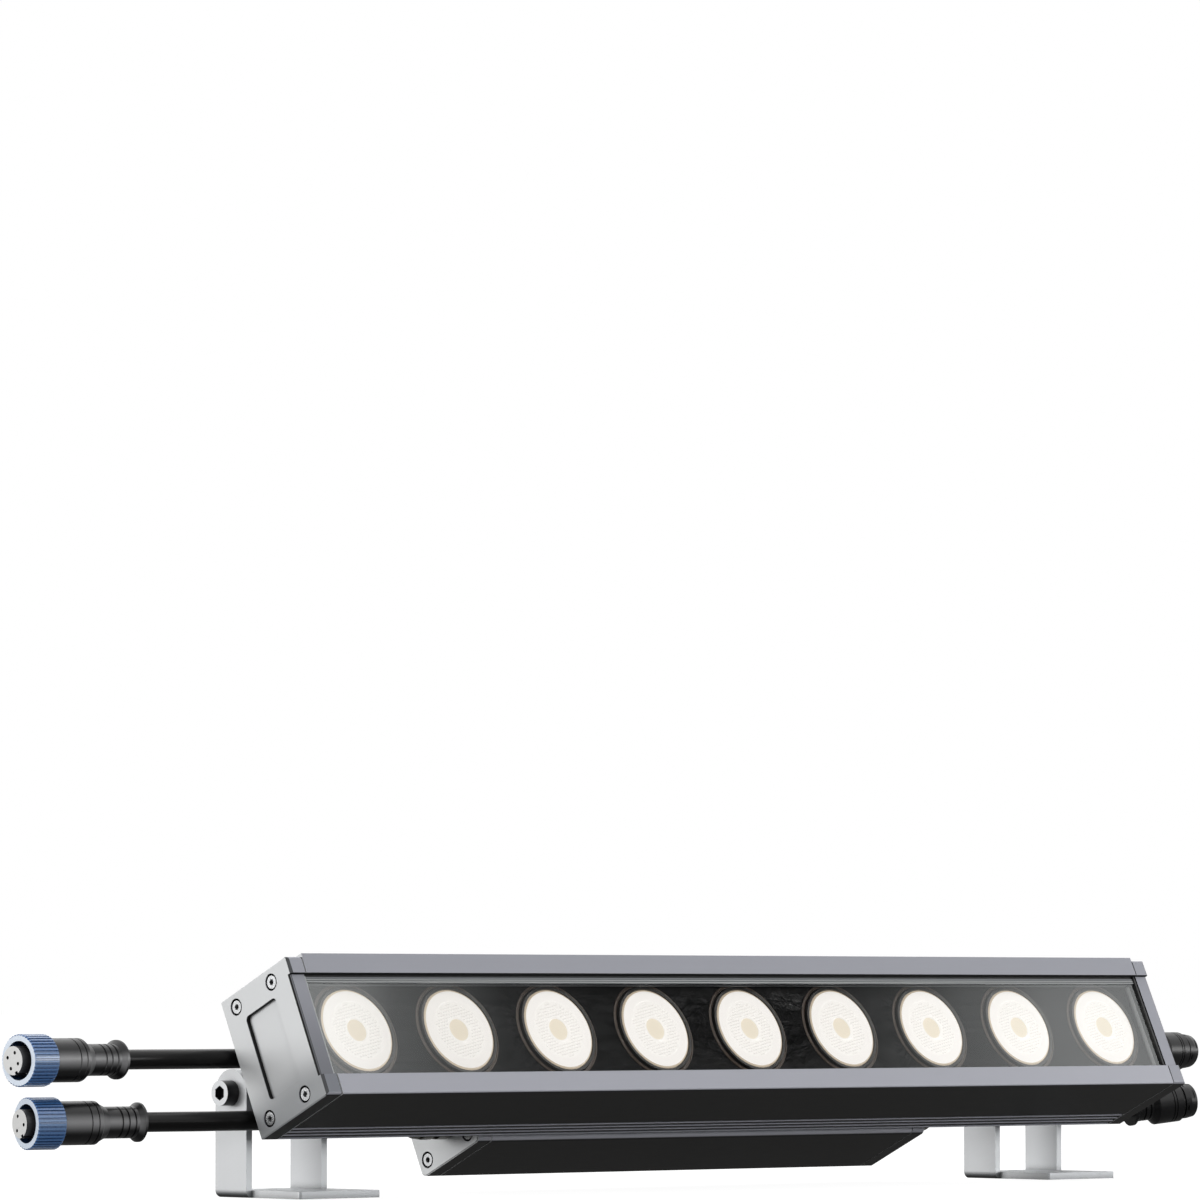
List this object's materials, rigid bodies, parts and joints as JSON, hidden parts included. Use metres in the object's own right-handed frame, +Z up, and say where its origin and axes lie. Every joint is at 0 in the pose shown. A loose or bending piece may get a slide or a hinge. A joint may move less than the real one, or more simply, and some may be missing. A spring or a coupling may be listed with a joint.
{
  "type": "linear architectural light",
  "caption": "Linear wall-washing light with a row of lenses behind flat glass, a driver box behind, tilting floor brackets and plug-in cable tails.",
  "frame": {"origin": "centre of the four bracket fixing holes, on the underside of the bracket plates, at mid length of the lamp", "axes": "+X along the lamp, to the right in the picture; -Y towards the side that the light leaves; +Z up from the mounting surface"},
  "size_m": [0.9105, 0.1366, 0.13],
  "materials": {
    "housing_anodised": "satin anodised extrusion, darker on its underside",
    "end_cap_metal": "fine satin, machined outer face",
    "end_bar_metal": "satin anodised",
    "bracket_plate": "satin stainless sheet",
    "black_fasteners": "black oxide",
    "bright_fasteners": "bright stainless",
    "black_rubber": "matt",
    "glass_seal": "satin silicone",
    "front_glass": "polished tempered",
    "mask_black": "black satin",
    "holder_grey": "satin moulded",
    "board_white": "white solder mask",
    "emitter_yellow": "phosphor layer",
    "lens_warm": "clear moulded, seen lit",
    "potting": "cast resin",
    "lead_red": "satin jacket",
    "gland_nickel": "nickel plated",
    "cable_black": "satin jacket",
    "connector_black": "glossy moulded",
    "insert_pale": "moulded",
    "coupling_blue": "satin moulded"
  },
  "bodies": {
    "brackets": {"left_bracket": "bracket_plate", "right_bracket": "bracket_plate", "left_welded_arm": "bracket_plate", "right_welded_arm": "bracket_plate", "left_pivot_bolt": "black_fasteners", "right_pivot_bolt": "black_fasteners", "pivot_nuts": "black_fasteners", "pivot_washers": "black_fasteners"},
    "lamp": {"housing": "housing_anodised", "left_end_cap": "end_cap_metal", "right_end_cap": "end_cap_metal", "end_gaskets": "black_rubber", "end_cap_screws": "bright_fasteners", "front_glass": "front_glass", "glass_gasket": "glass_seal", "left_end_bar": "end_bar_metal", "right_end_bar": "end_bar_metal", "lens_mask": "mask_black", "led_board": "board_white", "led_emitters": "emitter_yellow", "board_screws": "bright_fasteners", "lens_holders": "holder_grey", "lens_1": "lens_warm", "lens_2": "lens_warm", "lens_3": "lens_warm", "lens_4": "lens_warm", "lens_5": "lens_warm", "lens_6": "lens_warm", "lens_7": "lens_warm", "lens_8": "lens_warm", "lens_9": "lens_warm", "left_pivot_block": "housing_anodised", "right_pivot_block": "housing_anodised", "pivot_block_screws": "black_fasteners", "slot_nuts": "bright_fasteners", "driver_case": "housing_anodised", "driver_left_cap": "end_cap_metal", "driver_right_cap": "end_cap_metal", "driver_gaskets": "black_rubber", "driver_cap_screws": "bright_fasteners", "driver_module": "potting", "driver_spacers": "housing_anodised", "driver_mount_screws": "black_fasteners", "lead_grommet": "black_rubber", "led_lead": "lead_red", "gland_bodies": "gland_nickel", "gland_nuts": "gland_nickel", "left_upper_cable": "cable_black", "left_lower_cable": "cable_black", "right_upper_cable": "cable_black", "right_lower_cable": "cable_black", "left_upper_socket": "connector_black", "left_lower_socket": "connector_black", "left_upper_insert": "insert_pale", "left_lower_insert": "insert_pale", "right_upper_plug": "connector_black", "right_lower_plug": "connector_black"},
    "upper_coupling": {"left_upper_coupling": "coupling_blue"},
    "lower_coupling": {"left_lower_coupling": "coupling_blue"}
  },
  "joints": [
    {"name": "tilt", "type": "hinge", "parent": "brackets", "child": "lamp", "pos_m": [0, 0.0195, 0.0557], "axis": [-1, 0, 0], "range_deg": [-25, 120]},
    {"name": "upper_coupling_spin", "type": "hinge", "parent": "lamp", "child": "upper_coupling", "pos_m": [-0.47875, 0.00173, 0.07405], "axis": [0.9992, 0.0388, 0.0011], "continuous": true},
    {"name": "lower_coupling_spin", "type": "hinge", "parent": "lamp", "child": "lower_coupling", "pos_m": [-0.46809, 0.00863, 0.04127], "axis": [0.9895, -0.1447, 0.002], "continuous": true}
  ]
}
